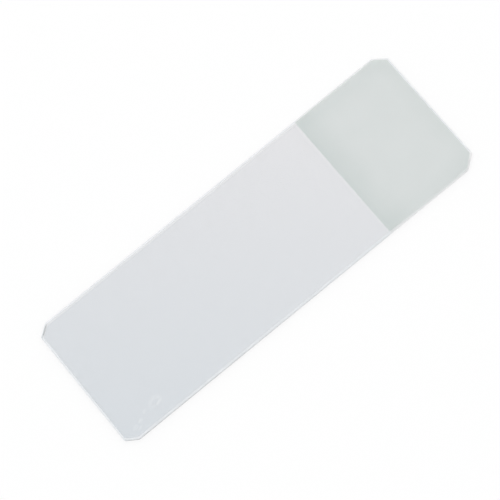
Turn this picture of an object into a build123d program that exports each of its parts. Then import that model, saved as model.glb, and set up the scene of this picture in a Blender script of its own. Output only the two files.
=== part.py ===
from build123d import *
import os

# Microscope slide: one plate of drawn soda-lime glass with ground edges, clipped corners
# and one end etched matt on its upper face, for pencil notes.
#
# Frame: millimetres, origin at the middle of the underside, +X towards the etched end,
# +Y across the slide, +Z up. The slide lies on its underside at Z = 0.

# --- Driving dimensions ---

# The plate, at the standard size that stages, boxes and stainers are made for.
slide_length = 76.0
slide_width = 26.0
slide_thickness = 1.0

# Clipped corners, each cut off by hand feed on the grinder, so that no two are quite alike.
# Each pair says how much is taken along the slide and then across it. The back is at +Y.
etched_back_clip = (2.25, 1.7)
plain_back_clip = (2.05, 1.5)
plain_front_clip = (2.1, 1.4)
etched_front_clip = (2.45, 1.9)
corner_round = 0.4  # where a clip runs into the edge beside it

# The arris: the narrow ground bevel that takes the sharpness off both rims.
arris_width = 0.35

# The etched end: grit takes a skin off the upper face, up to the straight edge of a mask.
etched_length = 19.4
etched_depth = 0.02
mask_ramp = 0.15  # the grit creeps under the mask, so the polished face runs down in a ramp


# --- The outline ---


def clipped_corner(side_x, side_y, clip):
    """The two points where one corner is cut, in anticlockwise order round the outline."""
    along, across = clip
    corner_x, corner_y = side_x * slide_length / 2, side_y * slide_width / 2
    on_long_edge = (corner_x - side_x * along, corner_y)
    on_short_edge = (corner_x, corner_y - side_y * across)
    if side_x == side_y:
        return [on_short_edge, on_long_edge]
    return [on_long_edge, on_short_edge]


outline_points = [
    *clipped_corner(+1, +1, etched_back_clip),
    *clipped_corner(-1, +1, plain_back_clip),
    *clipped_corner(-1, -1, plain_front_clip),
    *clipped_corner(+1, -1, etched_front_clip),
]

with BuildPart() as slide:
    # The plate is scored and snapped from sheet, so it is an even slab of the outline.
    with BuildSketch() as outline:
        with BuildLine():
            Polyline(*outline_points, close=True)
        make_face()
        fillet(outline.vertices(), corner_round)
    extrude(amount=slide_thickness)

    # Both rims are seamed all the way round, so every wall keeps a flat ground band between
    # an upper and a lower arris.
    rims = slide.faces().sort_by(Axis.Z)[0].edges() + slide.faces().sort_by(Axis.Z)[-1].edges()
    chamfer(rims, arris_width)

    # Blasting comes last, over the finished rim. Its section is a shallow step with a ramp on
    # the mask's side, and it runs out over the end and both long edges.
    mask_line = slide_length / 2 - etched_length
    past_the_end = slide_length / 2 + slide_width
    with BuildSketch(Plane.XZ) as blasted_section:
        with BuildLine():
            Polyline(
                (mask_line, slide_thickness),
                (mask_line + mask_ramp, slide_thickness - etched_depth),
                (past_the_end, slide_thickness - etched_depth),
                (past_the_end, slide_thickness),
                close=True,
            )
        make_face()
    extrude(amount=slide_width, both=True, mode=Mode.SUBTRACT)

os.makedirs("parts", exist_ok=True)
export_step(slide.part, "parts/glass_slide.step")
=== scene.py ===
# %% [markdown]
# # A microscope slide
#
# A slide is a plate of thin drawn glass. It is scored and snapped from a sheet, its corners
# are clipped and its rims seamed on a wet grinder so that they don't cut fingers, and one end
# of its upper face is blasted matt, so that a pencil writes on it.
#
# There is little on it to model, so the look rests on three things: rims with a true ground
# bevel, a matt field that lies a little lower than the polished face, and three finishes of
# one glass that take the light in different ways.

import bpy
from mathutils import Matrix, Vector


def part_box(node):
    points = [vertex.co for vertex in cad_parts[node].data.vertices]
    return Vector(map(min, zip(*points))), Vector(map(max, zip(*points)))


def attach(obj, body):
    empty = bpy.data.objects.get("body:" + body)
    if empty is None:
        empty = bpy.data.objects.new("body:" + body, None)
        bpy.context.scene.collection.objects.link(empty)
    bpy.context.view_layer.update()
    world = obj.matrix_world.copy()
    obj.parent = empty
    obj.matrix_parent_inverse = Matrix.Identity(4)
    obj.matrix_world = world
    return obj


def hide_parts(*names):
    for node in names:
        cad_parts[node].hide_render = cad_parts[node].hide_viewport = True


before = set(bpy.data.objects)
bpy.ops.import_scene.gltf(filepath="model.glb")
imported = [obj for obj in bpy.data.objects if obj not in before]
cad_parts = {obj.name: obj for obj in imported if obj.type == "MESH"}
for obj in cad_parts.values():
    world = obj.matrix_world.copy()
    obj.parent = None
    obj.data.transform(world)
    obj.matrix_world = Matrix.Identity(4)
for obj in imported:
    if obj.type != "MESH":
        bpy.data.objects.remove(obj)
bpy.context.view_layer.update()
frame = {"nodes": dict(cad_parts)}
print(f"CAD nodes: {', '.join(frame['nodes'])}")

# %% [markdown]
# The CAD node says how large the plate is. Everything is in metres, so sizes that a glass
# grinder would give in millimetres are multiplied by MM.

# %% Sizes of the plate
MM = 0.001
low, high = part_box("glass_slide")
length, width, thickness = high - low
print(f"plate: {length / MM:.1f} x {width / MM:.1f} x {thickness / MM:.2f} mm")

# %% [markdown]
# ## Selecting in code
#
# By hand, one clicks the faces or edges that a tool should work on. Here a function picks
# them by where they are or which way they face. Each step starts with nothing selected,
# because an operator works on all that is.

# %% A helper that selects and stays in edit mode
import bpy

NEAR = 1e-7  # two places closer than this are the same place
LEVEL = 0.99  # a face is level if its normal is at least this upright


def pick(piece, kind, wanted):
    """Selects the vertices, edges or faces that pass the test, and says how many there are."""
    bpy.context.view_layer.objects.active = piece
    bpy.ops.object.mode_set(mode="EDIT")
    bpy.ops.mesh.select_mode(type=kind)
    bpy.ops.mesh.select_all(action="DESELECT")
    bpy.ops.object.mode_set(mode="OBJECT")
    mesh = piece.data
    parts = {"VERT": mesh.vertices, "EDGE": mesh.edges, "FACE": mesh.polygons}[kind]
    picked = [part for part in parts if wanted(part)]
    for part in picked:
        part.select = True
    bpy.ops.object.mode_set(mode="EDIT")
    return len(picked)


def ends_of(piece, edge):
    return [piece.data.vertices[index].co for index in edge.vertices]


# %% [markdown]
# ## The blank
#
# Drawn glass comes in sheets of an even thickness, and a snapped blank is a plain slab. A cube
# scaled to the slab's size is the quickest start. Its scale is applied at once, so that every
# later cut and bevel is measured in true metres.

# %% Cut the blank
bpy.ops.object.select_all(action="DESELECT")
bpy.ops.mesh.primitive_cube_add(
    size=1, location=(0, 0, thickness / 2), scale=(length, width, thickness)
)
plate = bpy.context.active_object
plate.name = "slide_plate"
bpy.ops.object.transform_apply(location=True, rotation=True, scale=True)
print(f"blank: {len(plate.data.polygons)} faces")

# %% [markdown]
# ## Clipped corners
#
# Each corner is pressed against the grinder by hand feed, which takes a small triangle off it,
# longer along the slide than across it. Hand feed is why no two of the four are quite alike. A
# bisect is the same cut: a plane through the two ends of the clip, with what lies outside it
# cleared and the wound filled.

# %% Clip the corners
from mathutils import Vector

# The corner's side along X and along Y, then how much the clip takes along and across the slide.
etched_back = (+1, +1, 2.25 * MM, 1.7 * MM)
plain_back = (-1, +1, 2.05 * MM, 1.5 * MM)
plain_front = (-1, -1, 2.1 * MM, 1.4 * MM)
etched_front = (+1, -1, 2.45 * MM, 1.9 * MM)
corners = (etched_back, plain_back, plain_front, etched_front)

for side_x, side_y, along, across in corners:
    pick(plate, "FACE", lambda face: True)
    bpy.ops.mesh.bisect(
        plane_co=(side_x * (length / 2 - along), side_y * width / 2, 0),
        plane_no=Vector((side_x * across, side_y * along, 0)).normalized(),
        use_fill=True,
        clear_outer=True,
        threshold=NEAR,
    )
bpy.ops.object.mode_set(mode="OBJECT")
print(f"clipped: {len(plate.data.polygons)} faces")

# %% [markdown]
# ## Where a clip runs into an edge
#
# A wheel leaves no sharp corner, so each clip runs into the edges beside it over a small
# radius. A bevel of an upright edge gives that radius. Its width is the radius times the
# tangent of half the turn, and the turns are not the same at the two ends of a clip, because
# a clip lies closer to the long edge's direction.

# %% Round the upright edges
from math import atan2, radians, tan

corner_round = 0.4 * MM
round_steps = 6


def upright_at(piece, edge, place):
    """Whether an edge stands upright at a place in the plane of the slide."""
    one, other = ends_of(piece, edge)
    return abs(one.z - other.z) > thickness / 2 and (one.xy - place).length < NEAR


for side_x, side_y, along, across in corners:
    on_long_edge = Vector((side_x * (length / 2 - along), side_y * width / 2))
    on_short_edge = Vector((side_x * length / 2, side_y * (width / 2 - across)))
    for place, turn in (
        (on_long_edge, atan2(across, along)),
        (on_short_edge, atan2(along, across)),
    ):
        pick(plate, "EDGE", lambda edge: upright_at(plate, edge, place))
        bpy.ops.mesh.bevel(
            offset=corner_round * tan(turn / 2), segments=round_steps, affect="EDGES"
        )
        print(f"rounded: the upright edge at {place.x / MM:+.2f}, {place.y / MM:+.2f} mm")
bpy.ops.object.mode_set(mode="OBJECT")

# %% [markdown]
# ## Seamed rims
#
# Seaming takes the sharpness off both rims with a narrow flat bevel, the arris. A belt does
# it, and its width wanders a little along the edge. The long straight runs are divided first,
# so that there are points for the wander to move. Each side is divided by itself: with two
# sides of the same face picked, subdivide would also cut the face between them.

# %% Divide the straight runs
arris = 0.35 * MM
point_spacing = 1.0 * MM


def straight_run(piece, edge, axis, side):
    """Whether an edge is a long run of a rim that follows an axis, on one side of the plate."""
    one, other = ends_of(piece, edge)
    across = 1 - axis
    level_run = abs(one.z - other.z) < NEAR and abs(one[across] - other[across]) < NEAR
    return level_run and abs(one[axis] - other[axis]) > width / 2 and one[across] * side > 0


for axis, size in ((0, length), (1, width)):
    for side in (-1, +1):
        pick(plate, "EDGE", lambda edge: straight_run(plate, edge, axis, side))
        bpy.ops.mesh.subdivide(number_cuts=round(size / point_spacing))
bpy.ops.object.mode_set(mode="OBJECT")
print(f"divided: {len(plate.data.polygons)} faces")

# %% [markdown]
# Every edge that lies level belongs to a rim, so both rims are picked at once and bevelled in
# one go. A bevel of one segment is the flat that a belt leaves, and it follows the rounded
# corners by itself.

# %% Bevel both rims


def on_a_rim(piece, edge):
    one, other = ends_of(piece, edge)
    return abs(one.z - other.z) < NEAR


rim_edges = pick(plate, "EDGE", lambda edge: on_a_rim(plate, edge))
bpy.ops.mesh.bevel(offset=arris, segments=1, affect="EDGES")
bpy.ops.object.mode_set(mode="OBJECT")
print(f"seamed: {rim_edges} rim edges, {len(plate.data.polygons)} faces")

# %% [markdown]
# The wander is a Displace modifier with a cloud texture. It moves only the inner line of each
# arris, and only in the plane of the polished face, so that both faces stay dead flat, as drawn
# glass does.

# %% Let the arris wander
wander = 0.09 * MM
wander_length = 5 * MM
clouds = bpy.data.textures.new("belt_wander", type="CLOUDS")
clouds.noise_scale = wander_length


def inner_line(vertex, axis):
    """Whether a vertex lies on the inner line of an arris whose width is measured along an axis."""
    half = (length / 2, width / 2)[axis]
    on_a_face = abs(abs(vertex.co.z - thickness / 2) - thickness / 2) < NEAR
    return on_a_face and abs(abs(vertex.co[axis]) - (half - arris)) < NEAR


for axis, direction in enumerate("XY"):
    moved = pick(plate, "VERT", lambda vertex: inner_line(vertex, axis))
    bpy.ops.object.vertex_group_assign_new()
    bpy.ops.object.mode_set(mode="OBJECT")
    group = plate.vertex_groups.active
    group.name = f"arris_{direction}"
    bpy.ops.object.modifier_add(type="DISPLACE")
    displace = plate.modifiers.active
    displace.texture = clouds
    displace.texture_coords = "LOCAL"
    displace.direction = direction
    displace.vertex_group = group.name
    displace.strength = wander
    bpy.ops.object.modifier_apply(modifier=displace.name)
    print(f"wander along {direction}: {moved} points")

# %% [markdown]
# The lower rim is seamed last, with the plate held flatter to the belt, so its arris reaches
# further in at the same height. From above it shows through the glass along the far edge. The
# plain end, by which the plate was held, keeps the narrow one. The underside is one face, so
# scaling that face moves the whole inner line of the lower arris at once. The centre of the
# scaling lies on the plain end's own line, which therefore stays where it is.

# %% Draw in the underside
lower_arris = 0.5 * MM
held_end = -(length / 2 - arris)

pick(plate, "FACE", lambda face: face.normal.z < -LEVEL)
bpy.ops.transform.resize(
    value=(
        (length - arris - lower_arris) / (length - 2 * arris),
        (width / 2 - lower_arris) / (width / 2 - arris),
        1,
    ),
    center_override=(held_end, 0, 0),
)
bpy.ops.object.mode_set(mode="OBJECT")
print(f"lower arris: {lower_arris / MM:.2f} mm wide, {arris / MM:.2f} mm high")

# %% [markdown]
# ## The etched end
#
# Grit blasted past a straight mask takes a skin of about two hundredths of a millimetre off
# the upper face. It creeps a little under the mask, so the polished face runs down in a ramp.
# Two bisects draw the top and the foot of that ramp on the faces that look up, and then all
# that lies beyond the foot is let down.

# %% Cut the mask line and sink the end
etched_length = 19.4 * MM
etched_depth = 0.02 * MM
mask_ramp = 0.15 * MM
mask_line = length / 2 - etched_length

for place in (mask_line, mask_line + mask_ramp):
    pick(plate, "FACE", lambda face: face.normal.z > NEAR)
    bpy.ops.mesh.bisect(plane_co=(place, 0, 0), plane_no=(1, 0, 0), threshold=NEAR)

sunk = pick(
    plate,
    "VERT",
    lambda vertex: vertex.co.z > thickness - NEAR
    and vertex.co.x > mask_line + mask_ramp - NEAR,
)
bpy.ops.transform.translate(value=(0, 0, -etched_depth))
bpy.ops.object.mode_set(mode="OBJECT")
print(f"etched end: {sunk} points let down by {etched_depth / MM:.2f} mm")

# %% [markdown]
# ## Shading
#
# The small steps of the rounded corners should shade as one curve, and every other edge is a
# true edge. Smooth shading by angle does both. The ramp at the mask is so gentle that it would
# be smoothed as well and bend the light over the whole polished face, so its edges are marked
# sharp first.

# %% Shade the corners smooth


def across_the_slide(piece, edge):
    one, other = ends_of(piece, edge)
    return abs(one.x - other.x) < NEAR and min(one.z, other.z) > thickness / 2


smooth_below = radians(15)

marked = pick(plate, "EDGE", lambda edge: across_the_slide(plate, edge))
bpy.ops.mesh.mark_sharp()
bpy.ops.object.mode_set(mode="OBJECT")
bpy.ops.object.shade_smooth_by_angle(angle=smooth_below, keep_sharp_edges=True)
print(f"kept sharp: {marked} edges across the slide")

# %% [markdown]
# ## Proving the plate
#
# A finished piece is worth measuring: it should be closed, have the plate's volume, and lie
# within a few hundredths of a millimetre of the CAD node that it stands for.

# %% Measure the plate
import bmesh
from mathutils.bvhtree import BVHTree

work = bmesh.new()
work.from_mesh(plate.data)
open_edges = sum(not edge.is_manifold for edge in work.edges)
volume = work.calc_volume()
work.free()

node = frame["nodes"]["glass_slide"]
node_tree = BVHTree.FromPolygons(
    [vertex.co for vertex in node.data.vertices],
    [list(polygon.vertices) for polygon in node.data.polygons],
)
furthest = max(node_tree.find_nearest(vertex.co)[3] for vertex in plate.data.vertices)
print(f"open edges {open_edges}, volume {volume / MM**3:.1f} mm3")
print(f"furthest point from the CAD node: {furthest / MM:.3f} mm")

# %% [markdown]
# ## Materials
#
# All three finishes are the same soda-lime glass, refractive index 1.52. What changes is the
# surface: ground, fire-polished or blasted. Each is one Principled shader whose colour,
# roughness and clearness follow patterns in Object coordinates. Those are true metres here, so
# a pattern's scale can be set from a real size.
#
# A node graph is easiest to read in code if there is one way to add a node. The function below
# takes the node's kind, its inputs, each a value or what it is linked to, and its options.

# %% A helper that adds a node


def add_node(tree, kind, inputs=None, **options):
    """Adds a node. An input that is given a node is linked to that node's first live output."""
    node = tree.nodes.new("ShaderNode" + kind)
    for name, value in options.items():
        setattr(node, name, value)
    live = [socket for socket in node.inputs if socket.enabled]
    for key, value in (inputs or {}).items():
        socket = live[key] if isinstance(key, int) else next(s for s in live if s.name == key)
        if isinstance(value, bpy.types.Node):
            value = next(output for output in value.outputs if output.enabled)
        if isinstance(value, bpy.types.NodeSocket):
            tree.links.new(value, socket)
        else:
            socket.default_value = value
    return node


# %% [markdown]
# Colours are written as sRGB hex, the way that a colour picker shows them. Blender mixes light
# in linear values, so one function turns the one into the other. The other two start a
# material, and give it to the faces that it belongs on.

# %% Helpers for a new material


def to_linear(hex_colour, strength=1.0):
    """An sRGB hex colour as linear red, green and blue, times a strength, and alpha."""
    channels = [int(hex_colour[start : start + 2], 16) / 255 for start in (1, 3, 5)]
    linear = [c / 12.92 if c <= 0.04045 else ((c + 0.055) / 1.055) ** 2.4 for c in channels]
    return (*[strength * c for c in linear], 1)


def new_material(name):
    """An empty material, its node tree, and the Object coordinates that its patterns read."""
    material = bpy.data.materials.new(name)
    material.use_nodes = True
    tree = material.node_tree
    tree.nodes.clear()
    return material, tree, add_node(tree, "TexCoord").outputs["Object"]


def put_on(piece, material, wanted):
    """Gives the material to the faces that pass the test."""
    bpy.ops.object.material_slot_add()
    piece.active_material = material
    faces = pick(piece, "FACE", wanted)
    bpy.ops.object.material_slot_assign()
    bpy.ops.object.mode_set(mode="OBJECT")
    print(f"{material.name}: {len(material.node_tree.nodes)} nodes, on {faces} faces")


# %% [markdown]
# A smear, a dab or a stain is a soft oval: strongest at its centre, and gone at its rim. A
# Mapping node of the texture type moves, turns and stretches the coordinates until the oval is
# a ball of radius 1, and then the length of a coordinate says how far out a point lies.

# %% A helper for soft ovals


def soft_oval(tree, place, centre, half_size, turn, core=0.0):
    """A pattern that is 1 out to the core, a share of the oval's half size, and 0 at its rim."""
    unit_ball = add_node(
        tree,
        "Mapping",
        {"Vector": place, "Location": centre, "Rotation": (0, 0, turn), "Scale": half_size},
        vector_type="TEXTURE",
    )
    way_out = add_node(tree, "VectorMath", {0: unit_ball}, operation="LENGTH")
    return add_node(
        tree,
        "MapRange",
        {"Value": way_out, "From Min": 1.0, "From Max": core},
        interpolation_type="SMOOTHSTEP",
    )


# %% [markdown]
# ### Ground glass
#
# The walls and both arrises are as the wet wheel leaves them: matt and whitish, with fine
# scratches along the edge that are as wide as the wheel's grit. Noise squeezed to a few
# hundredths of a millimetre in height, and left two millimetres long the other ways, runs along
# the walls and the sloping arrises alike.

# %% Ground glass: scratches
scratch_length = 2 * MM
scratch_width = 0.06 * MM
scratch_detail = 3.0  # layers of ever finer noise on top of the first
NOISE_LOW, NOISE_HIGH = 0.3, 0.7  # nearly all of a noise pattern lies between these two

ground_glass, tree, place = new_material("ground_soda_lime_glass")
squeezed = add_node(
    tree,
    "Mapping",
    {"Vector": place, "Scale": (1 / scratch_length, 1 / scratch_length, 1 / scratch_width)},
)
scratches = add_node(
    tree, "TexNoise", {"Vector": squeezed, "Scale": 1.0, "Detail": scratch_detail}
)
scratched = add_node(
    tree, "MapRange", {"Value": scratches, "From Min": NOISE_LOW, "From Max": NOISE_HIGH}
)
whitish = add_node(
    tree,
    "Mix",
    {"Factor": scratched, "A": to_linear("#EBEFF1"), "B": to_linear("#F6F8FB")},
    data_type="RGBA",
)
print(f"scratches: {scratch_length / MM:.0f} mm long, {scratch_width / MM:.2f} mm wide")

# %% [markdown]
# The upper arris faces the room and glows as any matt face does. The lower one is seen from
# inside the glass, through the plate, where a matt face would look dark. Real ground glass is
# bright there, because it also lets through the white below it. So this glass is matt from
# the upper arris to halfway down the wall, and clear and without colour below that. The edges
# were pressed harder to the wheel towards the etched end, so the matt reaches lower there and
# the wall is paler. At the plain end more of the wall is glossy, and looks darker.

# %% Ground glass: clearer towards the underside
matt_clearness = 0.15
matt_lean = 0.3 * MM

parts = add_node(tree, "SeparateXYZ", {"Vector": place})
height = parts.outputs["Z"]
leaning_height = add_node(
    tree,
    "Math",
    {0: parts.outputs["X"], 1: matt_lean / length, 2: height},
    operation="MULTIPLY_ADD",
)
clearness = add_node(
    tree,
    "MapRange",
    {
        "Value": leaning_height,
        "From Min": arris,
        "From Max": thickness / 2,
        "To Min": 1.0,
        "To Max": matt_clearness,
    },
    interpolation_type="SMOOTHSTEP",
)
print(f"ground glass: clear below {arris / MM} mm, matt above {thickness / 2 / MM:.1f} mm")
print(f"that line leans by {matt_lean / MM} mm over the length of the plate")

# %% [markdown]
# The front edge's wall and the foot of its arris are painted nearly white beside the etched end:
# painted light, where that wall catches more of the light. A soft oval round that corner, long and
# thin, holds the whole stretch.

# %% Ground glass: painted light on the front edge beside the etched end
painted_light_size = (20.5 * MM, 2.5 * MM, 2 * MM)
painted_light_core = 0.85

painted_light_oval = soft_oval(
    tree,
    place,
    centre=(length / 2, -width / 2, thickness / 2),
    half_size=painted_light_size,
    turn=0.0,
    core=painted_light_core,
)
# painted light: a whiter wall towards the etched end
ground_with_painted_light = add_node(
    tree,
    "Mix",
    {"Factor": painted_light_oval, "A": whitish, "B": to_linear("#FFFFFF")},
    data_type="RGBA",
)
print(f"ground whiter: the last {painted_light_size[0] / MM:.1f} mm of the front edge")

# %% [markdown]
# The blasting jet runs to and fro across the etched end. As it passes over the two long edges
# it takes the inner half of their arrises as well, and leaves them in the field's own tone.
# The arris along the end stays as it was ground.

# %% Ground glass: arrises that the jet passes over
jet_start, jet_full = 2 * MM, 1 * MM  # measured inwards from a long edge

from_middle = add_node(tree, "Math", {0: parts.outputs["Y"]}, operation="ABSOLUTE")
blasted = 1.0
for coordinate, start, full in (
    (parts.outputs["X"], mask_line, mask_line + mask_ramp),
    (from_middle, width / 2 - jet_start, width / 2 - jet_full),
    (height, thickness - arris, thickness - arris / 2),
):
    reached = add_node(
        tree, "MapRange", {"Value": coordinate, "From Min": start, "From Max": full}
    )
    blasted = add_node(tree, "Math", {0: blasted, 1: reached}, operation="MULTIPLY")
print(f"blasted: the upper {arris / 2 / MM:.3f} mm of both long arrises, past the mask")

# %% [markdown]
# Two mixes finish the colour. The first gives the field's tone to what the jet passed over. The
# second pales everything to plain white towards the underside, where a tint in clear glass would
# only dull what shines through it. That white is also painted light, which brightens the lower
# arris where it looks dark through the plate.

# %% Ground glass: its colour from rim to rim
ground_or_blasted = add_node(
    tree,
    "Mix",
    {"Factor": blasted, "A": ground_with_painted_light, "B": to_linear("#E9EBEB")},
    data_type="RGBA",
)
upwards = add_node(
    tree,
    "MapRange",
    {"Value": height, "From Max": thickness - arris},
    interpolation_type="SMOOTHSTEP",
)
# painted light: plain white lifts the lower arris seen through the plate
white_and_painted_light_below = add_node(
    tree,
    "Mix",
    {"Factor": upwards, "A": to_linear("#FFFFFF"), "B": ground_or_blasted},
    data_type="RGBA",
)
print(f"colour: white at the underside, as ground above {(thickness - arris) / MM:.2f} mm")

# %% [markdown]
# One clip of the four is painted a darker grey along the inner line of its upper arris, partly on
# the arris and partly on the polished face. This is painted shade on that clip. Its place follows
# from the clip: halfway along it, and one arris in from the edge.

# %% Where the painted shade on the clip lies
shade_band_length = 3.1 * MM
shade_band_width = 0.5 * MM

side_x, side_y, along, across = plain_back
shade_band_turn = atan2(across, along)
outwards = Vector((side_x * across, side_y * along, 0)).normalized()
clip_middle = Vector((side_x * (length - along) / 2, side_y * (width - across) / 2, thickness))
inner_line_middle = clip_middle - outwards * arris
shade_band_x, shade_band_y = inner_line_middle.xy / MM
print(f"slurry: {shade_band_length / MM:.1f} mm long at {shade_band_x:.2f}, {shade_band_y:.2f} mm")

# %% [markdown]
# The painted shade is a long soft oval that lies on that line. One function makes it for both
# finishes, so that it runs on across the line.

# %% Painted shade that two finishes share
shade_band_strength = 0.65
shade_band_core = 0.5


def add_painted_shade(tree, place, unshaded):
    """The colour, darkened with painted shade along the inner line of the clip."""
    shade_band = soft_oval(
        tree,
        place,
        centre=inner_line_middle,
        half_size=(shade_band_length / 2, shade_band_width / 2, shade_band_width / 2),
        turn=shade_band_turn,
        core=shade_band_core,
    )
    # painted shade: dark grey mixed in along the clip
    shade_band = add_node(tree, "Math", {0: shade_band, 1: shade_band_strength}, operation="MULTIPLY")
    return add_node(
        tree,
        "Mix",
        {"Factor": shade_band, "A": unshaded, "B": to_linear("#7C8484")},
        data_type="RGBA",
    )


# %% [markdown]
# Ground glass from a fine wheel looks rougher than it is: its roughness stays between 0.2 and
# 0.3, and the relief is a hundredth of a millimetre deep.

# %% Ground glass: the shader
glass_ior = 1.52
scratch_depth = 0.01 * MM
scratch_relief = 0.3
smoothest_ground, roughest_ground = 0.2, 0.3

roughness = add_node(
    tree,
    "MapRange",
    {
        "Value": scratches,
        "From Min": NOISE_LOW,
        "From Max": NOISE_HIGH,
        "To Min": smoothest_ground,
        "To Max": roughest_ground,
    },
)
relief = add_node(
    tree, "Bump", {"Height": scratches, "Strength": scratch_relief, "Distance": scratch_depth}
)
surface = add_node(
    tree,
    "BsdfPrincipled",
    {
        "IOR": glass_ior,
        "Base Color": add_painted_shade(tree, place, white_and_painted_light_below),
        "Roughness": roughness,
        "Transmission Weight": clearness,
        "Normal": relief,
    },
)
add_node(tree, "OutputMaterial", {"Surface": surface})
put_on(plate, ground_glass, lambda face: True)

# %% [markdown]
# ### Polished glass
#
# Drawn soda-lime glass is fire-polished: the melt's own skin, smoother than any lens. It is clear
# and nearly without colour at one millimetre, with a breath of blue-grey. Its tint here is a deeper
# blue-grey than that: painted shade for the darker tone of the paper seen through the glass. A new
# slide is not spotless, though. A fingertip has left a faint arch and a few streaks near one corner
# of the upper face. Soft ovals draw them, laid over each other.

# %% Polished glass: a smear
smear_turn = radians(20)
smear_core = 0.4
smear_reach = thickness / 2  # less than the thickness, so that the underside stays clean

# Centre and half size in millimetres, and strength. The second oval hollows out the first.
touches = (
    ((-29.95, -10.0), (1.75, 1.6), 0.55),
    ((-30.0, -10.3), (1.35, 1.2), -0.7),
    ((-29.5, -10.25), (0.8, 0.35), 0.8),
    ((-33.8, -10.75), (0.65, 0.45), 0.5),
    ((-35.1, -11.15), (0.8, 0.5), 0.6),
    ((-34.6, -11.7), (0.8, 0.3), 0.4),
    ((-32.3, -9.9), (0.6, 0.4), 0.4),
    ((-30.6, -10.3), (0.5, 0.3), 0.4),
)

polished_glass, tree, place = new_material("polished_soda_lime_glass")
smear = 0.0
for centre, half_size, strength in touches:
    touch = soft_oval(
        tree,
        place,
        centre=(*[c * MM for c in centre], thickness),
        half_size=(*[size * MM for size in half_size], smear_reach),
        turn=smear_turn,
        core=smear_core,
    )
    smear = add_node(
        tree, "Math", {0: touch, 1: strength, 2: smear}, operation="MULTIPLY_ADD", use_clamp=True
    )
print(f"smear: {len(touches)} soft ovals")

# %% [markdown]
# A fingertip touches only with the ridges of its skin, which lie about half a millimetre apart,
# so the smear is broken up into short lines. Noise stretched along them gives that.

# %% Polished glass: skin lines in the smear
skin_lines = 0.5 * MM
skin_line_length = 1.2 * MM
skin_line_detail = 2.0
least_smear = 0.3

along_lines = add_node(
    tree,
    "Mapping",
    {"Vector": place, "Rotation": (0, 0, smear_turn), "Scale": (skin_line_length, skin_lines, 1)},
    vector_type="TEXTURE",
)
lines = add_node(
    tree, "TexNoise", {"Vector": along_lines, "Scale": 1.0, "Detail": skin_line_detail}
)
broken_up = add_node(
    tree,
    "MapRange",
    {"Value": lines, "From Min": NOISE_LOW, "From Max": NOISE_HIGH, "To Min": least_smear},
)
smear = add_node(tree, "Math", {0: smear, 1: broken_up}, operation="MULTIPLY")
print(f"skin lines: {skin_lines / MM} mm apart, {skin_line_length / MM} mm long")

# %% [markdown]
# Some of the blasting grit creeps under the mask and dulls a narrow strip of the polished face
# beside the etched end. The underside has no such strip, so only what lies above the middle of
# the plate counts.

# %% Polished glass: the drift beside the mask
drift_width = 0.6 * MM
drift_strength = 0.22

parts = add_node(tree, "SeparateXYZ", {"Vector": place})
drift = add_node(
    tree,
    "MapRange",
    {
        "Value": parts.outputs["X"],
        "From Min": mask_line - drift_width,
        "From Max": mask_line,
        "To Max": drift_strength,
    },
    interpolation_type="SMOOTHSTEP",
)
on_top = add_node(
    tree, "Math", {0: parts.outputs["Z"], 1: thickness / 2}, operation="GREATER_THAN"
)
haze = add_node(
    tree, "Math", {0: drift, 1: on_top, 2: smear}, operation="MULTIPLY_ADD", use_clamp=True
)
print(f"drift: {drift_width / MM} mm wide beside the mask")

# %% [markdown]
# The drift and the smear are both a film that scatters a little light. A touch of roughness and
# a paler colour show that, and the glass stays fully clear.

# %% Polished glass: the shader
film_roughness = 0.25

# painted shade: the blue-grey tint is deeper than the glass's own, and the film pales it to white
film_and_painted_shade = add_node(
    tree,
    "Mix",
    {"Factor": haze, "A": to_linear("#E8EAED"), "B": to_linear("#FFFFFF")},
    data_type="RGBA",
)
surface = add_node(
    tree,
    "BsdfPrincipled",
    {
        "IOR": glass_ior,
        "Base Color": add_painted_shade(tree, place, film_and_painted_shade),
        "Roughness": add_node(tree, "MapRange", {"Value": haze, "To Max": film_roughness}),
        "Transmission Weight": 1.0,
    },
)
add_node(tree, "OutputMaterial", {"Surface": surface})


def is_polished(face):
    """The underside, and the upper face as far as the mask line. Both are dead level."""
    underside = face.normal.z < -LEVEL
    return underside or (face.normal.z > LEVEL and face.center.x < mask_line)


put_on(plate, polished_glass, is_polished)

# %% [markdown]
# ### Etched glass
#
# Blasting turns the skin into fine pits, which scatter light both ways: the field looks pale
# green-grey and dull, and what lies under it is blurred. Along the mask and at the edges the field
# is painted a shade darker and greener: painted shade, strongest at the mask line.

# %% Etched glass: painted shade along the mask and the edges
etched_glass, tree, place = new_material("etched_soda_lime_glass")
parts = add_node(tree, "SeparateXYZ", {"Vector": place})
from_middle = add_node(tree, "Math", {0: parts.outputs["Y"]}, operation="ABSOLUTE")

# A coordinate, the border it reaches, how far in from there the painted shade fades out, and how
# strong.
borders = (
    (parts.outputs["X"], mask_line, +6.0 * MM, 0.7),
    (parts.outputs["X"], mask_line, +1.2 * MM, 0.3),
    (from_middle, width / 2, -4.5 * MM, 0.39),
    (parts.outputs["X"], length / 2, -4.0 * MM, 0.32),
)
painted_shade_depth = 0.0
for coordinate, border, inwards, strength in borders:
    beside = add_node(
        tree,
        "MapRange",
        {
            "Value": coordinate,
            "From Min": border,
            "From Max": border + inwards,
            "To Min": strength,
            "To Max": 0.0,
        },
        interpolation_type="SMOOTHSTEP",
    )
    painted_shade_depth = add_node(tree, "Math", {0: painted_shade_depth, 1: beside}, operation="ADD", use_clamp=True)
# painted shade beside the borders of the field
print(f"denser pits: beside {len(borders)} borders")

# %% [markdown]
# The pits are about twenty thousandths of a millimetre across, too fine to show, so they are
# drawn three to four times as coarse. The jet also wandered over the field, which leaves faint
# drifts a few millimetres wide.

# %% Etched glass: pits and drifts
pit_size, pit_detail, pit_contrast = 0.07 * MM, 2.0, 0.21
drift_size, drift_detail, drift_contrast = 6 * MM, 1.0, 0.045

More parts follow.
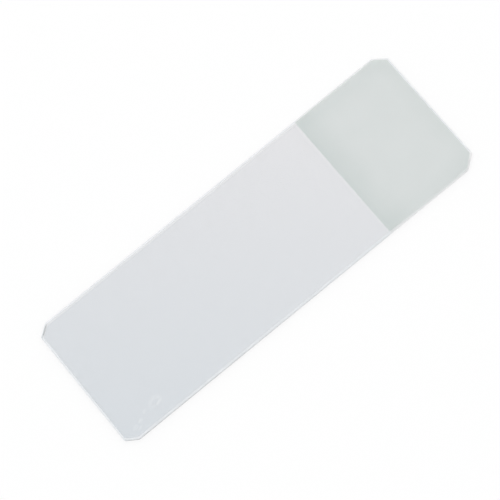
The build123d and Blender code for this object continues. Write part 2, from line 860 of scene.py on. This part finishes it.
pits = add_node(
    tree, "TexNoise", {"Vector": place, "Scale": 1 / pit_size, "Detail": pit_detail}
)
drifts = add_node(
    tree, "TexNoise", {"Vector": place, "Scale": 1 / drift_size, "Detail": drift_detail}
)
swing = pit_contrast + drift_contrast
shade = add_node(
    tree, "MapRange", {"Value": painted_shade_depth, "To Min": swing, "To Max": 1.0 - swing}
)
for pattern, contrast in ((pits, pit_contrast), (drifts, drift_contrast)):
    uneven = add_node(
        tree,
        "MapRange",
        {
            "Value": pattern,
            "From Min": NOISE_LOW,
            "From Max": NOISE_HIGH,
            "To Min": -contrast,
            "To Max": contrast,
        },
    )
    shade = add_node(tree, "Math", {0: shade, 1: uneven}, operation="ADD")
print(f"pits: drawn {pit_size / MM} mm wide, drifts {drift_size / MM:.0f} mm wide")

# %% [markdown]
# Where the painted shade is deeper the field is greener. The roughness follows the pits and stays
# in a narrow range, because the grit was even.

# %% Etched glass: tint and roughness
smoothest_pits, roughest_pits = 0.5, 0.6

# the darker, greener colour follows the painted shade and the pits
tint = add_node(
    tree,
    "Mix",
    {"Factor": shade, "A": to_linear("#E8ECEA"), "B": to_linear("#C7D2CE")},
    data_type="RGBA",
)
roughness = add_node(
    tree,
    "MapRange",
    {
        "Value": pits,
        "From Min": NOISE_LOW,
        "From Max": NOISE_HIGH,
        "To Min": smoothest_pits,
        "To Max": roughest_pits,
    },
)
print(f"roughness of the pits: {smoothest_pits} to {roughest_pits}")

# %% [markdown]
# The pits are as deep as the skin that the grit took off. About six tenths of the light goes
# through them, and the rest comes back as the field's own pale colour.

# %% Etched glass: the shader
pit_relief = 0.6
etched_clearness = 0.6

relief = add_node(
    tree, "Bump", {"Height": pits, "Strength": pit_relief, "Distance": etched_depth}
)
surface = add_node(
    tree,
    "BsdfPrincipled",
    {
        "IOR": glass_ior,
        "Base Color": tint,
        "Roughness": roughness,
        "Transmission Weight": etched_clearness,
        "Normal": relief,
    },
)
add_node(tree, "OutputMaterial", {"Surface": surface})
put_on(plate, etched_glass, lambda face: face.normal.z > LEVEL and face.center.x > mask_line)

# %% [markdown]
# ## The studio
#
# Clear glass shows only what is round it, so the room matters as much as the material. It is a
# white tent on white paper. Both look one way to the eye and work another way as light, and the
# Light Path node tells the two apart: a ray that the eye follows, straight or by way of the
# glass, and a ray that only gathers light.

# %% A helper that tells sight from light
first_matt_bounce = 0.5  # Diffuse Depth is 0 before it, and 1 or more after it


def sight(tree):
    """1 for a ray that the eye follows, straight or through and off glass, and 0 for light."""
    path = add_node(tree, "LightPath").outputs
    seen = add_node(
        tree, "Math", {0: path["Is Camera Ray"], 1: path["Is Glossy Ray"]}, operation="ADD"
    )
    seen = add_node(tree, "Math", {0: seen, 1: path["Is Transmission Ray"]}, operation="ADD")
    before_matt = add_node(
        tree, "Math", {0: path["Diffuse Depth"], 1: first_matt_bounce}, operation="LESS_THAN"
    )
    return add_node(tree, "Math", {0: seen, 1: before_matt}, operation="MULTIPLY", use_clamp=True)


# %% [markdown]
# To the eye the room is an even white. As light it is a little stronger from behind the slide
# than from in front of it, which makes the far rim glow and keeps the near one quiet. Both are
# the same world, whose strength follows the kind of ray.

# %% A white room
light_level = 1.0
more_from_behind = (0, 0.2, 0)

world = bpy.data.worlds.new("white_room")
bpy.context.scene.world = world
world.use_nodes = True
tree = world.node_tree
tree.nodes.clear()
direction = add_node(tree, "TexCoord").outputs["Generated"]
slope = add_node(tree, "VectorMath", {0: direction, 1: more_from_behind}, operation="DOT_PRODUCT")
light = add_node(tree, "Math", {0: slope, 1: light_level}, operation="ADD")
strength = add_node(tree, "MapRange", {"Value": sight(tree), "To Min": light, "To Max": 1.0})
room = add_node(tree, "Background", {"Color": to_linear("#FFFFFF"), "Strength": strength})
add_node(tree, "OutputWorld", {"Surface": room})
print(f"white room: light level {light_level}, {more_from_behind[1]:+.0%} from behind")

# %% [markdown]
# The slide lies on a wide sheet of white paper. The sheet is two hundredths of a millimetre
# below the glass: in true optical contact the light would be caught inside the plate, which a
# dry slide on paper never shows.

# %% The sheet of paper
paper_size = 6.0
air_gap = 0.02 * MM

bpy.ops.object.select_all(action="DESELECT")
bpy.ops.mesh.primitive_plane_add(size=paper_size, location=(0, 0, -air_gap))
floor = bpy.context.active_object
floor.name = "floor"
print(f"paper: {paper_size:.0f} m wide, {air_gap / MM} mm below the glass")

# %% [markdown]
# The paper does two things. For light it is a matt white that sends most of it back up. For the
# eye about a fifth of it is matt and takes the slide's soft shadow, and the rest is a white of
# its own, so that it reads as plain white. The matt share fades out away from the slide, and
# the far paper meets the white room without a line.

# %% White paper: matt, and a white of its own
matt_share = 0.18
fade_start, fade_end = 0.1, 0.6  # metres from the slide

paper, tree, place = new_material("white_paper")
seen = sight(tree)
from_slide = add_node(tree, "VectorMath", {0: place}, operation="LENGTH")
matt = add_node(
    tree,
    "MapRange",
    {
        "Value": from_slide,
        "From Min": fade_start,
        "From Max": fade_end,
        "To Min": matt_share,
        "To Max": 0.0,
    },
    interpolation_type="SMOOTHSTEP",
)
matt_colour = add_node(
    tree, "Mix", {"Factor": seen, "A": to_linear("#F4F4F4"), "B": matt}, data_type="RGBA"
)
own = add_node(tree, "Math", {0: 1.0, 1: matt}, operation="SUBTRACT")
own = add_node(tree, "Math", {0: own, 1: seen}, operation="MULTIPLY")
matt_side = add_node(tree, "BsdfDiffuse", {"Color": matt_colour})
own_white = add_node(tree, "Emission", {"Color": to_linear("#FFFFFF"), "Strength": own})
both = add_node(tree, "AddShader", {0: matt_side, 1: own_white})
add_node(tree, "OutputMaterial", {"Surface": both})
floor.data.materials.append(paper)
print(f"{paper.name}: matt share {matt_share:.0%}, faded out at {fade_end} m")

# %% [markdown]
# A glossy face needs something to mirror. So a wide scrim of diffusion cloth hangs overhead, on
# the line along which the camera sees the room mirrored in the face.

# %% Hang the scrim
scrim_size = 0.5
scrim_place = (0.0415, 0.1355, 0.5)  # metres

bpy.ops.object.select_all(action="DESELECT")
bpy.ops.mesh.primitive_plane_add(size=scrim_size, location=scrim_place)
scrim = bpy.context.active_object
scrim.name = "scrim"
print(f"scrim: {scrim_size} m wide, {scrim_place[2]} m above the paper")

# %% [markdown]
# The cloth is warm white on the far right, and dimmer and cooler towards the near left. The
# polished face mirrors it as a faint, even fall of light, which is what tells the eye that the
# face is flat and glossy.

# %% Diffusion cloth: an even fall of light
bright_side = Vector((0.69, 0.72, 0))
fall_length = 0.16
cool_level, warm_level = 0.65, 1.8

cloth, tree, place = new_material("diffusion_cloth")
towards_bright = add_node(
    tree, "VectorMath", {0: place, 1: bright_side}, operation="DOT_PRODUCT"
)
fall = add_node(
    tree,
    "MapRange",
    {"Value": towards_bright, "From Min": -fall_length / 2, "From Max": fall_length / 2},
)
cool_to_warm = add_node(
    tree,
    "Mix",
    {
        "Factor": fall,
        "A": to_linear("#97E3FF", cool_level),
        "B": to_linear("#FFEBE1", warm_level),
    },
    data_type="RGBA",
)
print(f"fall of light: level {cool_level} to {warm_level} over {fall_length} m")

# %% [markdown]
# The cloth's border has the room's own white, so that no edge of it shows in the glass.

# %% Diffusion cloth: its border
even_radius = 0.1

from_middle = add_node(tree, "VectorMath", {0: place}, operation="LENGTH")
border = add_node(
    tree,
    "MapRange",
    {"Value": from_middle, "From Min": even_radius, "From Max": scrim_size / 2},
    interpolation_type="SMOOTHSTEP",
)
glow = add_node(
    tree,
    "Mix",
    {"Factor": border, "A": cool_to_warm, "B": to_linear("#FFFFFF")},
    data_type="RGBA",
)
add_node(tree, "OutputMaterial", {"Surface": add_node(tree, "Emission", {"Color": glow})})
scrim.data.materials.append(cloth)
print(f"{cloth.name}: turns white between {even_radius} m and its border")

# %% [markdown]
# ## The camera
#
# A long lens looks steeply down on the slide from its front, turned so that the etched end
# points to the upper right.

# %% Camera
from math import cos, sin

from mathutils import Quaternion

azimuth, elevation, roll = radians(-106.02), radians(74.18), radians(-23.69)
distance = 422.5 * MM
aim = Vector((-1.34, 0.33, 0.5)) * MM
lens, sensor_width = 180, 36  # millimetres, as a camera maker gives them
nearest_shown, furthest_shown = 0.01, 20  # metres

towards_camera = Vector(
    (cos(elevation) * cos(azimuth), cos(elevation) * sin(azimuth), sin(elevation))
)
bpy.ops.object.camera_add(location=aim + distance * towards_camera)
camera = bpy.context.active_object
camera.rotation_mode = "QUATERNION"
level_view = (-towards_camera).to_track_quat("-Z", "Y")
camera.rotation_quaternion = level_view @ Quaternion((0, 0, 1), roll)
camera.data.lens, camera.data.sensor_width = lens, sensor_width
camera.data.clip_start, camera.data.clip_end = nearest_shown, furthest_shown
bpy.context.scene.camera = camera
bpy.context.scene.view_settings.view_transform = "Standard"
print(f"camera: {lens} mm lens, {distance / MM:.1f} mm away")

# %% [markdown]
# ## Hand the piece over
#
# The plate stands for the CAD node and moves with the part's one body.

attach(plate, "root")
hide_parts("glass_slide")
